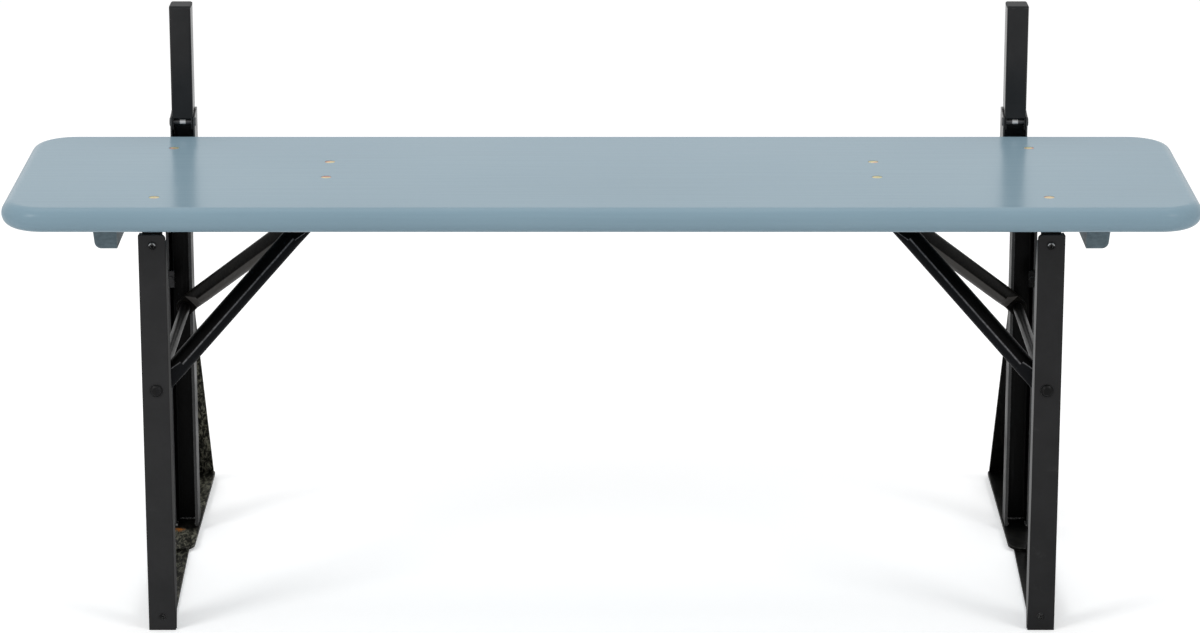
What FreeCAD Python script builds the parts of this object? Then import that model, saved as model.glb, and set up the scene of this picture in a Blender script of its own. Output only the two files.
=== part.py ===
import FreeCAD, Part
import math
import os
import Sketcher

# A folding bench: a thick seat board on two folding leg frames of steel angle, each held open
# by a V brace of flattened tube, with a folding backrest post at each end.
# Millimetres. X runs along the bench, +Y to its rear, +Z up, the floor is at zero.
# Every piece is drawn for the right-hand end (+X), and the left-hand end mirrors it. The photo
# shows the two posts a little to the left of the seat's middle, and post_middle holds that.

Vector = FreeCAD.Vector
doc = FreeCAD.newDocument("FoldingBench")

DRIVING_SIZES = [
    # Seat board
    ("seat_length", 1200), ("seat_depth", 330), ("seat_thick", 25), ("seat_front", -282),
    ("underside", 429.5), ("seat_corner", 45), ("seat_round", 12.2),
    # Seat bolts and their nuts
    ("bolt_radius", 2.5), ("bolt_play", 0.1), ("bolt_head", 5.25), ("bolt_head_thick", 1.6),
    ("bolt_sink", 0.3), ("nut_across", 8), ("nut_thick", 4), ("bolt_over", 1.5),
    ("rail_bolt_x", 448), ("rail_bolt_front", -228.5), ("rail_bolt_rear", -14.5),
    ("bracket_bolt_x", 281), ("bracket_bolt_front", -143), ("bracket_bolt_rear", -76.5),
    # End battens
    ("batten_inner", 486), ("batten_width", 25), ("batten_height", 27), ("batten_taper", 3),
    ("batten_front", -234.5), ("batten_length", 235), ("batten_round", 7),
    ("batten_end_round", 2.5), ("screw_sink", 1),
    ("screw_radius", 2), ("screw_head", 4.2), ("screw_head_thick", 2.5), ("screw_length", 38),
    ("screw_spacing", 83),
    # Hinge rails, ears and pins
    ("rail_inner", 438), ("rail_width", 20), ("rail_thick", 4), ("rail_front", -237.5),
    ("rail_rear", 106.2), ("ear_thick", 4), ("ear_round", 10),
    ("pin_x", 450), ("pin_height", 407.2), ("pin_radius", 3), ("pin_play", 0.05),
    ("pin_head", 4), ("pin_head_thick", 2.4), ("pin_tail", 4.6), ("pin_hollow", 2.2),
    ("side_play", 0.3),
    # Leg frames
    ("angle_wall", 3), ("leg_inside", 13.2), ("leg_outside", 14.3), ("leg_flange", 28),
    ("leg_top", 419), ("leg_corner", 5), ("leg_outer_corner", 2), ("leg_flange_corner", 12),
    ("root_round", 2.5), ("edge_round", 1.2),
    ("upright_top", 414.5), ("upright_inside", 7.7), ("upright_outside", 19.4),
    ("upright_flange", 28), ("upright_flange_corner", 8), ("inner_flange_top", 385),
    ("axle_height", 256), ("axle_radius", 4),
    ("axle_head", 6.5), ("axle_head_thick", 3), ("axle_nut_across", 13), ("axle_nut_thick", 5),
    ("spacer_radius", 5.6), ("strut_play", 0.08),
    ("foot_front_inner", 440.2), ("foot_rear_inner", 446.6), ("foot_taper_end", 20.5),
    ("foot_rear", 282), ("foot_tab", 28), ("foot_rib", 22), ("foot_rib_end", 2.5),
    ("foot_tab_corner", 8), ("nested_round", 2.8),
    ("foot_rivet_height", 15), ("foot_rivet_radius", 2.5), ("foot_rivet_head", 3.6),
    ("plate_front", 3), ("plate_inner", 440.6), ("plate_outer", 469.4), ("plate_corner", 20),
    ("plate_rear_corner", 5),
    ("brace_top", 240), ("brace_drop", 5), ("brace_run", 3.7), ("brace_side_drop", 34),
    ("brace_side_run", 25),
    ("lug_inner", 461), ("lug_width", 8.4), ("lug_low", 278), ("lug_high", 296),
    ("lug_thick", 3.5), ("lug_bolt_x", 465), ("lug_bolt_radius", 3.3), ("lug_bolt_thick", 2.5),
    # V braces
    ("strut_radius", 10), ("lower_flat_width", 20), ("upper_flat_width", 21.6),
    ("flat_length", 9), ("flare_length", 26), ("lower_eye_thick", 4),
    ("upper_eye_thick", 5), ("eye_gap", 0.5), ("apex_x", 297), ("apex_height", 409),
    ("front_apex_y", -122), ("rear_apex_y", -97), ("rear_eye_y", 79),
    ("catch_radius", 5), ("catch_over", 2.5),
    # Latch brackets and clips
    ("bracket_thick", 3), ("bracket_inner", 271), ("bracket_width", 38),
    ("bracket_front", -153), ("bracket_length", 86.5), ("bracket_corner", 6),
    ("clip_front", -117.5), ("clip_width", 16), ("clip_bore", 5.4), ("clip_thick", 1.2),
    ("clip_lip", 5), ("mouth_angle", 20.8), ("clip_rivet_radius", 1.5),
    ("clip_rivet_head", 2.6), ("clip_rivet_head_thick", 1.5),
    # Backrest posts
    ("post_middle", -2.8), ("channel_inner", 426.4), ("channel_width", 26.2),
    ("channel_wall", 1.5), ("channel_front", 51.5), ("channel_depth", 31), ("channel_top", 477),
    ("channel_slope", 5), ("tongue_width", 20), ("tongue_top", 505), ("tongue_corner", 4),
    ("post_x", 439.5), ("post_width", 22.8), ("post_front", 50.5), ("post_depth", 28),
    ("post_wall", 1.8), ("post_low", 459), ("post_face_low", 471.5), ("post_top", 592.5),
    ("post_corner", 3), ("cap_thick", 2.5), ("cap_plug", 12), ("cap_round", 1.6),
    ("heel_relief", 1.8), ("post_pivot_y", 56), ("post_pivot_height", 466.6),
    ("post_bolt_radius", 2.6), ("post_bolt_play", 0.06), ("post_bolt_head", 4.5),
    ("post_bolt_head_thick", 0.8),
]


class Size:
    """A number of the sheet, or one worked out from it, with the expression that gives it."""

    def __init__(self, value, text):
        self.value = value
        self.text = text

    def __add__(self, other):
        other = as_size(other)
        return Size(self.value + other.value, "(%s + %s)" % (self.text, other.text))

    def __sub__(self, other):
        other = as_size(other)
        return Size(self.value - other.value, "(%s - %s)" % (self.text, other.text))

    def __mul__(self, other):
        other = as_size(other)
        return Size(self.value * other.value, "(%s * %s)" % (self.text, other.text))

    def __truediv__(self, other):
        other = as_size(other)
        return Size(self.value / other.value, "(%s / %s)" % (self.text, other.text))

    def __neg__(self):
        return self * -1


def as_size(number):
    if isinstance(number, Size):
        return number
    return Size(float(number), "(%r)" % float(number))


def fill_sheet():
    """Put the driving sizes in the sheet and return them by name."""
    sheet = doc.addObject("Spreadsheet::Sheet", "Sizes")
    sizes = {}
    for row, (name, value) in enumerate(DRIVING_SIZES, start=1):
        sheet.set("A%d" % row, name)
        sheet.set("B%d" % row, str(value))
        sheet.setAlias("B%d" % row, name)
        sizes[name] = Size(float(value), "Sizes." + name)
    doc.recompute()
    return sizes


class Sizes:
    """The sheet's sizes as attributes."""

    def __init__(self, sizes):
        self.__dict__.update(sizes)


s = Sizes(fill_sheet())
nodes = {}

# Sizes that several pieces share
SEAT_TOP = s.underside + s.seat_thick
RAIL_LOW = s.underside - s.rail_thick
LEG_BACK = s.rail_front - s.side_play
LEG_FACE = LEG_BACK - s.angle_wall
UPRIGHT_FACE = s.rail_rear + s.side_play
UPRIGHT_BACK = UPRIGHT_FACE + s.angle_wall
LEG_OUTER_X = s.pin_x + s.leg_outside
FOOT_OUTER_X = LEG_OUTER_X - s.angle_wall
FRONT_EYE_Y = LEG_BACK + s.eye_gap + s.lower_eye_thick / 2
AXLE_HOLE = s.axle_radius + 0.02


# Drawing helpers

def place(item, x=0, y=0, z=0):
    for axis, size in zip("xyz", (x, y, z)):
        item.setExpression("Placement.Base." + axis, as_size(size).text)


def new_body(name, x=0, y=0, z=0):
    body = doc.addObject("PartDesign::Body", name)
    body.Label = name
    place(body, x, y, z)
    return body


def new_sketch(body, name, plane, offset):
    sketch = body.newObject("Sketcher::SketchObject", name)
    for feature in body.Origin.OriginFeatures:
        if feature.Role == plane + "_Plane":
            sketch.AttachmentSupport = (feature, [""])
    sketch.MapMode = "FlatFace"
    sketch.setExpression("AttachmentOffset.Base.z", as_size(offset).text)
    return sketch


def hold_point(sketch, curve, spot, corner):
    """Fix a point of a curve by its two distances from the sketch's origin."""
    for kind, size in zip(("DistanceX", "DistanceY"), corner):
        size = as_size(size)
        index = sketch.addConstraint(Sketcher.Constraint(kind, -1, 1, curve, spot, size.value))
        sketch.setExpression("Constraints[%d]" % index, size.text)


def draw_outline(sketch, corners):
    """Draw a closed loop of straight lines through the corners."""
    points = [Vector(as_size(x).value, as_size(y).value, 0) for x, y in corners]
    count = len(points)
    for index in range(count):
        sketch.addGeometry(Part.LineSegment(points[index], points[(index + 1) % count]))
    for index in range(count):
        after = (index + 1) % count
        sketch.addConstraint(Sketcher.Constraint("Coincident", index, 2, after, 1))
    for index, corner in enumerate(corners):
        hold_point(sketch, index, 1, corner)


def draw_circles(sketch, circles):
    """Draw circles, each given by its centre and radius."""
    for x, y, radius in circles:
        x, y, radius = as_size(x), as_size(y), as_size(radius)
        centre = Vector(x.value, y.value, 0)
        curve = sketch.addGeometry(Part.Circle(centre, Vector(0, 0, 1), radius.value))
        hold_point(sketch, curve, 3, (x, y))
        index = sketch.addConstraint(Sketcher.Constraint("Radius", curve, radius.value))
        sketch.setExpression("Constraints[%d]" % index, radius.text)


def draw_shape(sketch, shape):
    if len(shape[0]) == 3:
        draw_circles(sketch, shape)
    else:
        draw_outline(sketch, shape)


def add_slab(body, name, plane, shape, low, high):
    """Add the drawn shape between two distances along the axis across its plane."""
    offset = -as_size(high) if plane == "XZ" else low
    sketch = new_sketch(body, name + "_sketch", plane, offset)
    draw_shape(sketch, shape)
    pad = body.newObject("PartDesign::Pad", name)
    pad.Profile = sketch
    pad.setExpression("Length", (as_size(high) - low).text)
    doc.recompute()
    return pad


def cut_slab(body, name, plane, shape, low, high):
    """Cut the drawn shape away between two distances along the axis across its plane."""
    doc.recompute()
    before = body.Shape.Volume
    offset = -as_size(low) if plane == "XZ" else high
    sketch = new_sketch(body, name + "_sketch", plane, offset)
    draw_shape(sketch, shape)
    pocket = body.newObject("PartDesign::Pocket", name)
    pocket.Profile = sketch
    pocket.setExpression("Length", (as_size(high) - low).text)
    doc.recompute()
    if body.Shape.Volume > before - 0.01:
        raise RuntimeError(body.Label + ": " + name + " cuts nothing")
    return pocket


def turn(body, name, profile):
    """Revolve a profile of (distance along Y, radius) corners round the body's Y axis."""
    sketch = new_sketch(body, name + "_sketch", "YZ", 0)
    draw_outline(sketch, profile)
    revolution = body.newObject("PartDesign::Revolution", name)
    revolution.Profile = sketch
    revolution.ReferenceAxis = (sketch, ["H_Axis"])
    doc.recompute()
    return revolution


def edges_in(shape, **planes):
    """Names of the edges that lie in every given plane, such as x=3."""
    names = []
    for index, edge in enumerate(shape.Edges, start=1):
        box = edge.BoundBox
        spans = {"x": (box.XMin, box.XMax), "y": (box.YMin, box.YMax), "z": (box.ZMin, box.ZMax)}
        gaps = []
        for axis, place_at in planes.items():
            for end in spans[axis]:
                gaps.append(abs(end - as_size(place_at).value))
        if max(gaps) < 0.01:
            names.append("Edge%d" % index)
    return names


def round_edges(body, name, radius, *picks):
    """Fillet the edges that lie in the given planes, which are in the body's own frame."""
    doc.recompute()
    base = body.Tip
    names = []
    for planes in picks:
        names += edges_in(base.Shape, **planes)
    fillet = body.newObject("PartDesign::Fillet", name)
    fillet.Base = (base, names)
    fillet.setExpression("Radius", as_size(radius).text)
    doc.recompute()
    return fillet


def box_corners(low_x, low_y, high_x, high_y):
    return [(low_x, low_y), (high_x, low_y), (high_x, high_y), (low_x, high_y)]


def hexagon(x, y, across):
    """Corners of a hexagon by its size across flats."""
    corners = []
    for step in range(6):
        angle = math.radians(60 * step)
        radius = as_size(across) / math.sqrt(3)
        corners.append((radius * math.cos(angle) + x, radius * math.sin(angle) + y))
    return corners


def cylinder(name, radius, height, x, y, z, along="Z"):
    """A cylinder that starts at the point and runs along the axis."""
    item = doc.addObject("Part::Cylinder", name)
    item.setExpression("Radius", as_size(radius).text)
    item.setExpression("Height", as_size(height).text)
    turns = {
        "X": FreeCAD.Rotation(Vector(0, 1, 0), 90),
        "Y": FreeCAD.Rotation(Vector(1, 0, 0), -90),
        "Z": FreeCAD.Rotation(),
    }
    item.Placement = FreeCAD.Placement(Vector(), turns[along])
    place(item, x, y, z)
    return item


def block(name, low, high):
    """A box between two corners."""
    item = doc.addObject("Part::Box", name)
    for side, start, end in zip(("Length", "Width", "Height"), low, high):
        item.setExpression(side, (as_size(end) - start).text)
    place(item, *low)
    return item


def fuse(name, items):
    joined = doc.addObject("Part::MultiFuse", name)
    joined.Shapes = items
    return joined


def cut(name, base, tools):
    taken = doc.addObject("Part::Cut", name)
    taken.Base = base
    taken.Tool = fuse(name + "_tools", tools) if len(tools) > 1 else tools[0]
    return taken


def mirror(source, name, middle=0):
    """The piece's mirror image across the upright plane at X = middle."""
    item = doc.addObject("Part::Mirroring", name)
    item.Source = source
    item.Normal = Vector(1, 0, 0)
    item.setExpression("Base.x", as_size(middle).text)
    return item


def group(name, items):
    """Separate solids kept in one node."""
    item = doc.addObject("Part::Compound", name)
    item.Links = items
    item.Label = name
    nodes[name] = item


def pair(piece, stem, middle=0):
    """Keep a right-hand piece and its mirror image as two nodes."""
    piece.Label = stem + "_right"
    nodes[piece.Label] = piece
    left = mirror(piece, stem + "_left", middle)
    left.Label = stem + "_left"
    nodes[left.Label] = left


# Seat board, battens and their fastenings

def bolt_places():
    """The four seat bolts of the right-hand half."""
    return [
        (s.rail_bolt_x, s.rail_bolt_front), (s.rail_bolt_x, s.rail_bolt_rear),
        (s.bracket_bolt_x, s.bracket_bolt_front), (s.bracket_bolt_x, s.bracket_bolt_rear),
    ]


def screw_places():
    middle = s.batten_front + s.batten_length / 2
    across = s.batten_inner + s.batten_width / 2
    return [(across, middle + s.screw_spacing * step) for step in (-1, 0, 1)]


def both_ends(places):
    return list(places) + [(-x, y) for x, y in places]


def make_seat_board():
    body = new_body("seat_board", 0, s.seat_front, s.underside)
    half = s.seat_length / 2
    add_slab(body, "board", "XY", box_corners(-half, 0, half, s.seat_depth), 0, s.seat_thick)
    upright_corners = [dict(x=x, y=y) for x in (-half, half) for y in (0, s.seat_depth)]
    round_edges(body, "plan_corners", s.seat_corner, *upright_corners)
    round_edges(body, "bullnose", s.seat_round, dict(z=0), dict(z=s.seat_thick))
    bolts = both_ends(bolt_places())
    sinks = [(x, y - s.seat_front, s.bolt_head + s.bolt_play) for x, y in bolts]
    holes = [(x, y - s.seat_front, s.bolt_radius + s.bolt_play) for x, y in bolts]
    sink_floor = s.seat_thick - s.bolt_sink - s.bolt_head_thick
    cut_slab(body, "head_sinks", "XY", sinks, sink_floor, s.seat_thick)
    cut_slab(body, "bolt_holes", "XY", holes, 0, s.seat_thick)
    screws = both_ends(screw_places())
    pilots = [(x, y - s.seat_front, s.screw_radius) for x, y in screws]
    pilot_depth = s.screw_length - s.batten_height
    cut_slab(body, "screw_pilots", "XY", pilots, 0, pilot_depth)
    nodes[body.Label] = body


def make_seat_bolt(name, x, y, grip_low):
    """A flat-headed bolt sunk in the board, with its nut below the metal that it holds."""
    head_low = SEAT_TOP - s.bolt_sink - s.bolt_head_thick
    end = grip_low - s.nut_thick - s.bolt_over
    head = cylinder(name + "_head", s.bolt_head, s.bolt_head_thick, x, y, head_low)
    shank = cylinder(name + "_shank", s.bolt_radius, head_low - end, x, y, end)
    bolt = fuse(name, [head, shank])
    nut_body = new_body(name + "_nut", x, y, grip_low - s.nut_thick)
    add_slab(nut_body, "hexagon", "XY", hexagon(0, 0, s.nut_across), 0, s.nut_thick)
    bore = [(0, 0, s.bolt_radius)]
    cut_slab(nut_body, "bore", "XY", bore, 0, s.nut_thick)
    return bolt, nut_body


def make_seat_fastenings():
    bolts = []
    nuts = []
    grips = [RAIL_LOW, RAIL_LOW] + [s.underside - s.bracket_thick] * 2
    for number, ((x, y), grip) in enumerate(zip(bolt_places(), grips), start=1):
        bolt, nut = make_seat_bolt("seat_bolt_%d" % number, x, y, grip)
        bolts += [bolt, mirror(bolt, "seat_bolt_%d_left" % number)]
        nuts += [nut, mirror(nut, "seat_nut_%d_left" % number)]
    group("seat_bolts", bolts)
    group("seat_nuts", nuts)


def make_end_batten():
    body = new_body("end_batten", s.batten_inner, s.batten_front, s.underside)
    profile = [
        (0, -s.batten_height), (s.batten_width - s.batten_taper, -s.batten_height),
        (s.batten_width, 0), (0, 0),
    ]
    add_slab(body, "bar", "XZ", profile, 0, s.batten_length)
    outer_low = dict(x=s.batten_width - s.batten_taper, z=-s.batten_height)
    round_edges(body, "outer_edge", s.batten_round, outer_low)
    low_ends = [dict(y=0, z=-s.batten_height), dict(y=s.batten_length, z=-s.batten_height)]
    round_edges(body, "low_ends", s.batten_end_round, *low_ends)
    shift = [(x - s.batten_inner, y - s.batten_front) for x, y in screw_places()]
    sinks = [(x, y, s.screw_head) for x, y in shift]
    holes = [(x, y, s.screw_radius) for x, y in shift]
    low = -s.batten_height
    cut_slab(body, "head_sinks", "XY", sinks, low, low + s.screw_head_thick + s.screw_sink)
    cut_slab(body, "screw_holes", "XY", holes, low, 0)
    pair(body, "end_batten")


def make_batten_screws():
    screws = []
    low = s.underside - s.batten_height + s.screw_sink
    for number, (x, y) in enumerate(screw_places(), start=1):
        name = "batten_screw_%d" % number
        head = cylinder(name + "_head", s.screw_head, s.screw_head_thick, x, y, low)
        length = s.screw_length - s.screw_sink
        shank = cylinder(name + "_shank", s.screw_radius, length, x, y, low)
        screw = fuse(name, [head, shank])
        screws += [screw, mirror(screw, name + "_left")]
    group("batten_screws", screws)


# Hinge rails with their ears and pins

def make_hinge_rail():
    body = new_body("hinge_rail", s.rail_inner, s.rail_front, RAIL_LOW)
    length = s.rail_rear - s.rail_front
    bar = box_corners(0, 0, s.rail_width, length)
    add_slab(body, "bar", "XY", bar, 0, s.rail_thick)
    bolt_x = s.rail_bolt_x - s.rail_inner
    holes = [
        (bolt_x, bolt_y - s.rail_front, s.bolt_radius + s.bolt_play)
        for bolt_y in (s.rail_bolt_front, s.rail_bolt_rear)
    ]
    cut_slab(body, "bolt_holes", "XY", holes, 0, s.rail_thick)
    pair(body, "hinge_rail")


def make_hinge_ear(stem, low_y):
    """A plate below the rail, round at the bottom about the hinge pin."""
    body = new_body(stem, s.pin_x, low_y, s.pin_height)
    top = RAIL_LOW - s.pin_height
    plate = box_corners(-s.ear_round, -s.ear_round, s.ear_round, top)
    add_slab(body, "plate", "XZ", plate, 0, s.ear_thick)
    low_corners = [dict(x=x, z=-s.ear_round) for x in (-s.ear_round, s.ear_round)]
    round_edges(body, "round_end", s.ear_round - 0.1, *low_corners)
    cut_slab(body, "pin_hole", "XZ", [(0, 0, s.pin_radius)], 0, s.ear_thick)
    pair(body, stem)


def make_hinge_pins():
    """A front and a rear rivet pin, each through an ear and a leg."""
    pins = []
    hold = s.side_play + s.angle_wall
    head_start = hold + s.ear_thick + 0.1
    profile = [
        (-0.6, 0), (-0.6, s.pin_hollow), (-2.2, s.pin_hollow + 0.4),
        (-2.2, s.pin_tail - 1), (-1.2, s.pin_tail), (0, s.pin_tail),
        (0, s.pin_radius), (head_start, s.pin_radius), (head_start, s.pin_head),
        (head_start + s.pin_head_thick - 0.7, s.pin_head),
        (head_start + s.pin_head_thick, s.pin_head - 0.7),
        (head_start + s.pin_head_thick, 1.6), (head_start + 0.8, 1.6), (head_start + 0.8, 0),
    ]
    ends = [
        ("front", s.rail_front + s.ear_thick, -1),
        ("rear", s.rail_rear - s.ear_thick, 1),
    ]
    for end, start, way in ends:
        body = new_body("hinge_pin_" + end, s.pin_x, start, s.pin_height)
        turned = [(as_size(along) * way, radius) for along, radius in profile]
        turn(body, "pin", turned)
        pins.append(body)
    right = doc.addObject("Part::Compound", "hinge_pins_right")
    right.Links = pins
    pair(right, "hinge_pins")


# Leg frames

def make_front_leg():
    body = new_body("front_leg", s.pin_x, LEG_FACE, 0)
    face = box_corners(-s.leg_inside, 0, s.leg_outside, s.leg_top)
    add_slab(body, "face", "XZ", face, 0, s.angle_wall)
    round_edges(body, "inner_corner", s.leg_corner, dict(x=-s.leg_inside, z=s.leg_top))
    round_edges(body, "outer_corner", s.leg_outer_corner, dict(x=s.leg_outside, z=s.leg_top))
    flange_top = s.leg_top - s.leg_outer_corner - 0.5
    flange = box_corners(0, 0, s.leg_flange, flange_top)
    inner = s.leg_outside - s.angle_wall
    add_slab(body, "flange", "YZ", flange, inner, s.leg_outside)
    round_edges(body, "flange_corner", s.leg_flange_corner, dict(y=s.leg_flange, z=flange_top))
    round_edges(body, "root", s.root_round, dict(x=inner, y=s.angle_wall))
    round_edges(body, "outer_edge", s.edge_round, dict(x=s.leg_outside, y=0))
    holes = [
        (0, s.pin_height, s.pin_radius + s.pin_play), (0, s.axle_height, AXLE_HOLE),
        (0, s.foot_rivet_height, s.foot_rivet_radius),
    ]
    cut_slab(body, "holes", "XZ", holes, 0, s.angle_wall)
    pair(body, "front_leg")


def make_rear_upright():
    """A channel open to the front, whose inner flange ends below the hinge."""
    body = new_body("rear_upright", s.pin_x, UPRIGHT_FACE, 0)
    foot = s.angle_wall * 2
    web = box_corners(-s.upright_inside, foot, s.upright_outside, s.upright_top)
    add_slab(body, "web", "XZ", web, 0, s.angle_wall)
    tops = [dict(x=-s.upright_inside, z=s.upright_top), dict(x=s.upright_outside, z=s.upright_top)]
    round_edges(body, "top_corners", s.leg_corner, *tops)
    front = s.angle_wall - s.upright_flange
    outer_top = s.upright_top - s.leg_corner - 0.5
    flanges = [
        ("outer", s.upright_outside - s.angle_wall, outer_top),
        ("inner", -s.upright_inside, s.inner_flange_top),
    ]
    for side, low_x, top in flanges:
        flange = box_corners(front, foot, s.angle_wall, top)
        add_slab(body, side + "_flange", "YZ", flange, low_x, low_x + s.angle_wall)
        corner = dict(y=front, z=top)
        round_edges(body, side + "_flange_corner", s.upright_flange_corner, corner)
    inner_faces = [s.upright_outside - s.angle_wall, s.angle_wall - s.upright_inside]
    round_edges(body, "roots", s.root_round, *[dict(x=x, y=0) for x in inner_faces])
    holes = [(0, s.pin_height, s.pin_radius + s.pin_play), (0, s.axle_height, AXLE_HOLE)]
    cut_slab(body, "holes", "XZ", holes, 0, s.angle_wall)
    pair(body, "rear_upright")


def make_foot_rail():
    """The floor bar of a leg frame: a tapered flat, a front tab and a stiffening rib."""
    body = new_body("foot_rail", 0, 0, 0)
    flat = [
        (s.foot_front_inner, LEG_BACK), (FOOT_OUTER_X, LEG_BACK), (FOOT_OUTER_X, s.foot_rear),
        (s.foot_rear_inner, s.foot_rear), (s.foot_rear_inner, s.foot_taper_end),
    ]
    add_slab(body, "flat", "XY", flat, 0, s.angle_wall)
    tab = box_corners(s.foot_front_inner, 0, FOOT_OUTER_X, s.foot_tab)
    add_slab(body, "front_tab", "XZ", tab, LEG_BACK, LEG_BACK + s.angle_wall)
    rib = [
        (LEG_BACK, 0), (s.foot_rib_end, 0), (s.foot_rib_end, s.foot_rib / 2),
        (s.foot_rib_end - s.foot_rib, s.foot_rib), (LEG_BACK, s.foot_rib),
    ]
    add_slab(body, "rib", "YZ", rib, FOOT_OUTER_X - s.angle_wall, FOOT_OUTER_X)
    round_edges(body, "bend", s.root_round, dict(y=LEG_BACK + s.angle_wall, z=s.angle_wall))
    round_edges(body, "tab_corner", s.foot_tab_corner, dict(x=s.foot_front_inner, z=s.foot_tab))
    round_edges(body, "nested_edge", s.nested_round, dict(x=FOOT_OUTER_X, y=LEG_BACK))
    hole = [(s.pin_x, s.foot_rivet_height, s.foot_rivet_radius)]
    cut_slab(body, "rivet_hole", "XZ", hole, LEG_BACK, LEG_BACK + s.angle_wall)
    pair(body, "foot_rail")


def make_foot_plate():
    body = new_body("foot_plate", 0, 0, s.angle_wall)
    plate = box_corners(s.plate_inner, s.plate_front, s.plate_outer, s.foot_rear)
    add_slab(body, "plate", "XY", plate, 0, s.angle_wall)
    round_edges(body, "front_corner", s.plate_corner, dict(x=s.plate_inner, y=s.plate_front))
    round_edges(body, "rear_corner", s.plate_rear_corner, dict(x=s.plate_inner, y=s.foot_rear))
    pair(body, "foot_plate")


def make_rear_brace():
    """An angle that runs from the upright's back down to the plate's rear end."""
    body = new_body("rear_brace", 0, 0, 0)
    low = s.angle_wall * 2
    cap = [
        (UPRIGHT_BACK, s.brace_top), (s.foot_rear, low), (s.foot_rear - s.brace_run, low),
        (UPRIGHT_BACK, s.brace_top - s.brace_drop),
    ]
    inner = s.pin_x - s.upright_inside
    add_slab(body, "cap", "YZ", cap, inner, s.plate_outer)
    side = [
        (UPRIGHT_BACK, s.brace_top - 1), (s.foot_rear - 1, low),
        (s.foot_rear - s.brace_side_run, low), (UPRIGHT_BACK, s.brace_top - s.brace_side_drop),
    ]
    add_slab(body, "side", "YZ", side, s.plate_outer - s.angle_wall, s.plate_outer)
    pair(body, "rear_brace")


def make_stop_lug():
    """A small block with a round head, welded to the front edge of the upright's flange."""
    seat = UPRIGHT_BACK - s.upright_flange
    face = seat - s.lug_thick
    low = (s.lug_inner, face, s.lug_low)
    high = (s.lug_inner + s.lug_width, seat, s.lug_high)
    lug = block("lug_block", low, high)
    middle = (s.lug_low + s.lug_high) / 2
    head = cylinder(
        "lug_head", s.lug_bolt_radius, s.lug_bolt_thick, s.lug_bolt_x,
        face - s.lug_bolt_thick, middle, "Y")
    pair(fuse("stop_lug", [lug, head]), "stop_lug")


def make_foot_rivet():
    """A rivet that holds the leg to the foot rail's tab."""
    body = new_body("foot_rivet", s.pin_x, LEG_FACE, s.foot_rivet_height)
    grip = s.angle_wall * 2
    profile = [
        (-0.5, 0), (-0.5, 1.2), (-1.3, 1.6), (-1.3, s.foot_rivet_head - 1),
        (0, s.foot_rivet_head), (0, s.foot_rivet_radius),
        (grip, s.foot_rivet_radius), (grip, s.foot_rivet_head - 0.5), (grip + 1.4, 3),
        (grip + 1.4, 0),
    ]
    turn(body, "rivet", profile)
    pair(body, "foot_rivet")


def make_strut_axle():
    """The long rod through the leg, the strut eyes, the spacer tube and the upright."""
    body = new_body("strut_axle", s.pin_x, LEG_FACE, s.axle_height)
    end = UPRIGHT_BACK - LEG_FACE + s.axle_nut_thick + 2
    head = -s.axle_head_thick
    profile = [
        (head, 0), (head, s.axle_head - 2.2), (head + 1.1, s.axle_head - 0.6),
        (head + 2, s.axle_head), (0, s.axle_head), (0, s.axle_radius), (end, s.axle_radius),
        (end, 0),
    ]
    turn(body, "rod", profile)
    pair(body, "strut_axle")


def make_axle_spacer():
    start = FRONT_EYE_Y + s.lower_eye_thick / 2 + 0.2
    end = s.rear_eye_y - s.lower_eye_thick / 2 - 0.2
    body = new_body("axle_spacer", s.pin_x, start, s.axle_height)
    add_slab(body, "tube", "XZ", [(0, 0, s.spacer_radius)], 0, end - start)
    cut_slab(body, "bore", "XZ", [(0, 0, AXLE_HOLE)], 0, end - start)
    pair(body, "axle_spacer")


def make_axle_nuts():
    body = new_body("axle_nut", s.pin_x, UPRIGHT_BACK, s.axle_height)
    add_slab(body, "hexagon", "XZ", hexagon(0, 0, s.axle_nut_across), 0, s.axle_nut_thick)
    cut_slab(body, "bore", "XZ", [(0, 0, s.axle_radius)], 0, s.axle_nut_thick)
    pair(body, "axle_nut")


# V braces: tubes with flattened ends

def obround(centre, wide, thick, width, thickness):
    """A closed section of two straight lines and two half circles."""
    half = thickness / 2
    reach = width / 2 - half
    corner = {}
    for across in (-1, 1):
        for side in (-1, 1):
            corner[across, side] = centre + wide * (reach * across) + thick * (half * side)
    right = centre + wide * (reach + half)
    left = centre - wide * (reach + half)
    edges = [
        Part.makeLine(corner[-1, 1], corner[1, 1]),
        Part.Arc(corner[1, 1], right, corner[1, -1]).toShape(),
        Part.makeLine(corner[1, -1], corner[-1, -1]),
        Part.Arc(corner[-1, -1], left, corner[-1, 1]).toShape(),
    ]
    return Part.Wire(edges)


def flat_eye(centre, toward, wide, width, thickness):
    """A flattened tube end: a disc about the pivot and the flat run that leads to the tube."""
    half = thickness / 2
    axis = Vector(0, 1, 0)
    run = Part.Face(obround(centre, wide, axis, width, thickness))
    disc = Part.makeCylinder(width / 2 - 0.4, thickness, centre - axis * half, axis)
    return disc.fuse(run.extrude(toward * s.flat_length.value))


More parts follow.
